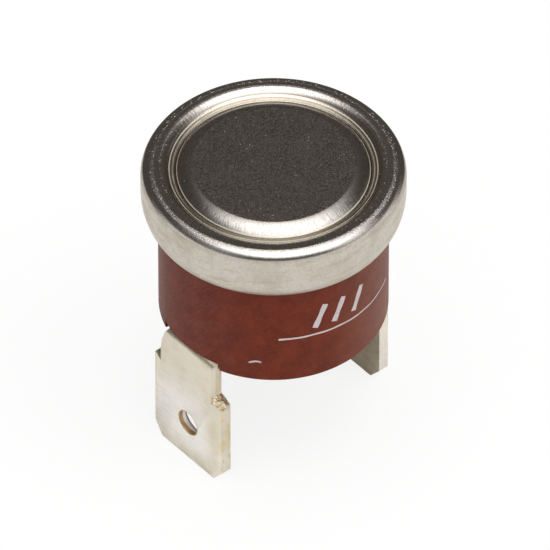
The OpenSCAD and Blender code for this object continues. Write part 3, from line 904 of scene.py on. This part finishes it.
def ink_mark(name, path):
    """A closed ribbon of ink on the body's side, through (angle, height, width) points."""
    bm = bmesh.new()
    rows = []
    for i, (angle, height, width) in enumerate(path):
        before = path[max(i - 1, 0)]
        after = path[min(i + 1, len(path) - 1)]
        along = Vector((radians(after[0] - before[0]) * BODY_R, after[1] - before[1])).normalized()
        rows.append([])
        for side in (-1, 1):
            shift = Vector((-along.y, along.x)) * (side * width / 2)
            at = (angle + degrees(shift.x / BODY_R), height + shift.y)
            rows[-1] += [bm.verts.new(on_side(*at, INK_PROUD)), bm.verts.new(on_side(*at, -INK_DEPTH))]
    for a, b in zip(rows, rows[1:]):
        for p, q in ((0, 2), (2, 3), (3, 1), (1, 0)):
            bm.faces.new((a[p], a[q], b[q], b[p]))
    for row in (rows[0], rows[-1]):
        bm.faces.new((row[0], row[2], row[3], row[1]))
    mark = smooth(new_object(name, bm))
    mark.data.materials.append(INK)
    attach(mark, "case")
    return mark


def make_ink():
    """A long line round the side, a short dash below it and three plain strokes above it."""
    line = []
    for i in range(INK_LINE_STEPS + 1):
        part = i / INK_LINE_STEPS
        angle = INK_LINE_FROM + (INK_LINE_TO - INK_LINE_FROM) * part
        wobble = INK_LINE_WAVE * sin(7 * part) + INK_LINE_UNEVEN * sin(31 * part)
        width = INK_LINE_W - INK_LINE_TAPER * part + INK_LINE_UNEVEN * sin(47 * part)
        line.append((angle, INK_LINE_Z + wobble, width))
    ink_mark("ink_line", line)
    ink_mark("ink_dash", INK_DASH)
    for k, angle in enumerate(STROKE_ANGLES):
        stroke = []
        for i in range(STROKE_STEPS + 1):
            part = i / STROKE_STEPS
            width = STROKE_W + STROKE_UNEVEN * sin(9 * part + k)
            stroke.append((angle + STROKE_LEAN * part, STROKE_Z + STROKE_H * part, width))
        ink_mark(f"ink_stroke_{k + 1}", stroke)


STEEL = plated_steel()
PHENOLIC = phenolic()
TIN = tinned_brass()
BARE_EDGE = bare_edge()
INK = white_ink()

dress(make_cap(), "cap", "case", STEEL)
dress(make_body(), "body", "case", PHENOLIC)
dress(make_terminal("contact_terminal_strip", BLADE_X, 0), "contact_terminal", "case", TIN)
dress(make_terminal("arm_terminal_strip", ARM_BLADE_X, pi), "arm_terminal", "case", TIN)
make_ink()

# Finishes of the pieces that stay as solids
RIVET_TIN = inner_metal("rivet_tin", (0.74, 0.7, 0.6), 0.3)
BRACKET_BRASS = inner_metal("bracket_brass", (0.76, 0.6, 0.33), 0.28)
CONTACT_SILVER = inner_metal("contact_silver", (0.86, 0.85, 0.82), 0.2)
NODE_FINISH = {
    "bimetal_disc": inner_metal("bimetal", (0.55, 0.5, 0.45), 0.25),
    "pin_guide": fired_ceramic("guide_ceramic", (0.78, 0.72, 0.62)),
    "transfer_pin": fired_ceramic("pin_ceramic", (0.88, 0.85, 0.79)),
    "arm_bracket": BRACKET_BRASS,
    "contact_bracket": BRACKET_BRASS,
    "contact_arm": inner_metal("spring_bronze", (0.75, 0.52, 0.3), 0.25),
    "moving_contact": CONTACT_SILVER,
    "fixed_contact": CONTACT_SILVER,
    "arm_rivet": RIVET_TIN,
    "contact_rivet": RIVET_TIN,
}
for node_name, finish in NODE_FINISH.items():
    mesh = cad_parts[node_name].data
    mesh.materials.clear()
    mesh.materials.append(finish)


# Floor, light and camera

def make_floor():
    """A white table that runs up into a backdrop. The camera sees it, and it lights nothing."""
    wall_r = FLOOR_R + BACKDROP_ROUND
    profile = [Vector((0, 0))]
    profile += arc((FLOOR_R, BACKDROP_ROUND), BACKDROP_ROUND, -90, 0, 24)
    profile += [Vector((wall_r, BACKDROP_H)), Vector((wall_r + FLOOR_T, BACKDROP_H)),
                Vector((wall_r + FLOOR_T, -FLOOR_T)), Vector((0, -FLOOR_T))]
    floor = smooth(revolved("floor", profile, COARSE_STEPS))
    floor.data.materials.append(floor_white())
    floor.visible_diffuse = False
    floor.visible_glossy = False
    floor.visible_transmission = False
    floor.visible_shadow = False


def make_card():
    """The table's top as the part mirrors it. It ends close behind the part and further off at the sides."""
    front = from_camera(0, 0)
    right = from_camera(90, 0)
    corners = ((-FLOOR_R, -CARD_SIDES), (0, -CARD_BACK), (FLOOR_R, -CARD_SIDES),
               (FLOOR_R, FLOOR_R), (-FLOOR_R, FLOOR_R))
    outline = [right * x + front * y for x, y in corners]
    card = prism("card", outline, FLAT, -FLOOR_T, CARD_TOP)
    card.data.materials.append(card_white())
    card.visible_camera = False


def studio_world():
    """A dark room with a softbox overhead and pale screens low down at the front and sides."""
    world = bpy.data.worlds.new("studio")
    bpy.context.scene.world = world
    world.use_nodes = True
    n = Nodes(world.node_tree)
    place = n.node("ShaderNodeTexCoord").outputs["Generated"]
    front = n.ramp(n.along(place, from_camera(SCREEN_SIDE, 0)), *SCREEN_FADE)
    low, high = (sin(radians(height)) for height in SCREEN_HEIGHTS)
    screens = n.ramp(n.axes(place)[2], low, high, SCREEN_LOW, SCREEN_HIGH)
    light = n.product(front, screens)
    for strength, angle, height, inner, outer in STUDIO_LIGHTS:
        lobe = n.toward(place, from_camera(angle, height), inner, outer)
        light = n.total(light, (lobe, strength))
    lights = n.tree.nodes["Background"]
    n.link(light, lights.inputs["Strength"])
    lights.inputs["Color"].default_value = (1.0, 0.985, 0.965, 1.0)
    room = n.node("ShaderNodeBackground")
    room.inputs["Strength"].default_value = ROOM_LIGHT
    room.inputs["Color"].default_value = (1.0, 0.87, 0.76, 1.0)
    both = n.node("ShaderNodeAddShader")
    n.link(lights.outputs[0], both.inputs[0])
    n.link(room.outputs[0], both.inputs[1])
    n.link(both.outputs[0], n.tree.nodes["World Output"].inputs["Surface"])


def make_camera():
    """A camera that looks down at the part from the photograph's side, through a long lens."""
    azimuth = radians(CAMERA_AZIMUTH)
    elevation = radians(CAMERA_ELEVATION)
    to_right = Vector((cos(azimuth), sin(azimuth), 0))
    ahead = Vector((-sin(azimuth) * cos(elevation), cos(azimuth) * cos(elevation), -sin(elevation)))
    target = to_right * VIEW_RIGHT + Vector((0, 0, VIEW_HEIGHT_Z))
    lens = bpy.data.cameras.new("camera")
    lens.sensor_width = SENSOR
    lens.lens = SENSOR * CAMERA_DISTANCE / VIEW_WIDTH
    camera = bpy.data.objects.new("camera", lens)
    camera.location = target - ahead * CAMERA_DISTANCE
    camera.rotation_euler = ahead.to_track_quat("-Z", "Y").to_euler()
    bpy.context.collection.objects.link(camera)
    bpy.context.scene.camera = camera


make_floor()
make_card()
studio_world()
make_camera()
bpy.context.scene.view_settings.view_transform = "Standard"

bpy.context.view_layer.update()
